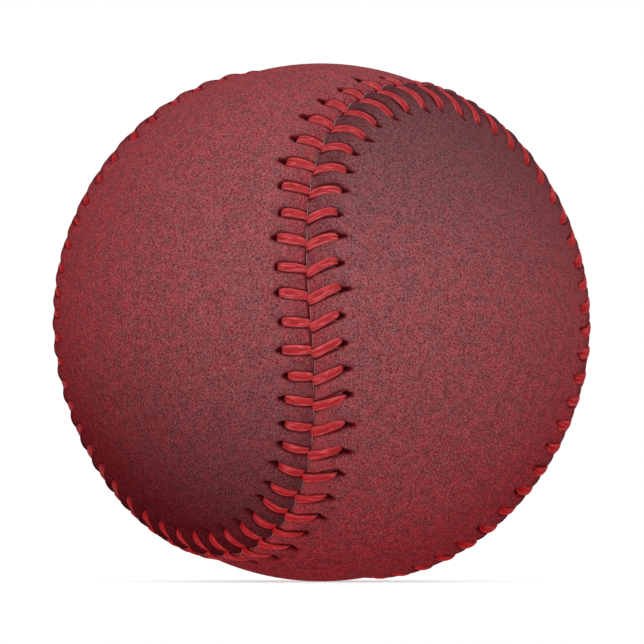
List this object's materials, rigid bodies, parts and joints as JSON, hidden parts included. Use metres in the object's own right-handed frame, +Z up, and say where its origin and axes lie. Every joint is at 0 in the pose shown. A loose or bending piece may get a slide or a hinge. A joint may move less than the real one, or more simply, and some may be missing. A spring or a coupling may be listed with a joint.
{
  "type": "baseball",
  "caption": "Hand-sized sewn ball with a cushioned cork centre, yarn windings and a red leather cover of interlocking figure-eight panels joined by a raised stitched seam.",
  "frame": {"origin": "centre of the ball", "axes": "+Z up as the ball lies, -Y towards the front, where the seam crosses the girth; the seam's own axis leans 7.5 degrees from +Z towards +X"},
  "size_m": [0.0769, 0.0768, 0.0744],
  "materials": {
    "cork": "ground composition cork",
    "black_rubber": "matte moulded",
    "red_rubber": "matte moulded",
    "grey_wool": "wound yarn",
    "white_wool": "wound yarn",
    "white_cotton": "fine wound yarn",
    "rubber_cement": "dried film",
    "cover_leather": "mottled red printed grain",
    "waxed_thread": "waxed two-strand thread"
  },
  "bodies": {
    "root": {"cork_core": "cork", "upper_rubber_cup": "black_rubber", "lower_rubber_cup": "black_rubber", "cup_gasket": "red_rubber", "rubber_jacket": "red_rubber", "inner_wool_winding": "grey_wool", "white_wool_winding": "white_wool", "outer_wool_winding": "grey_wool", "cotton_winding": "white_cotton", "cement_coat": "rubber_cement", "upper_cover_panel": "cover_leather", "lower_cover_panel": "cover_leather", "leading_thread": "waxed_thread", "trailing_thread": "waxed_thread"}
  },
  "joints": []
}
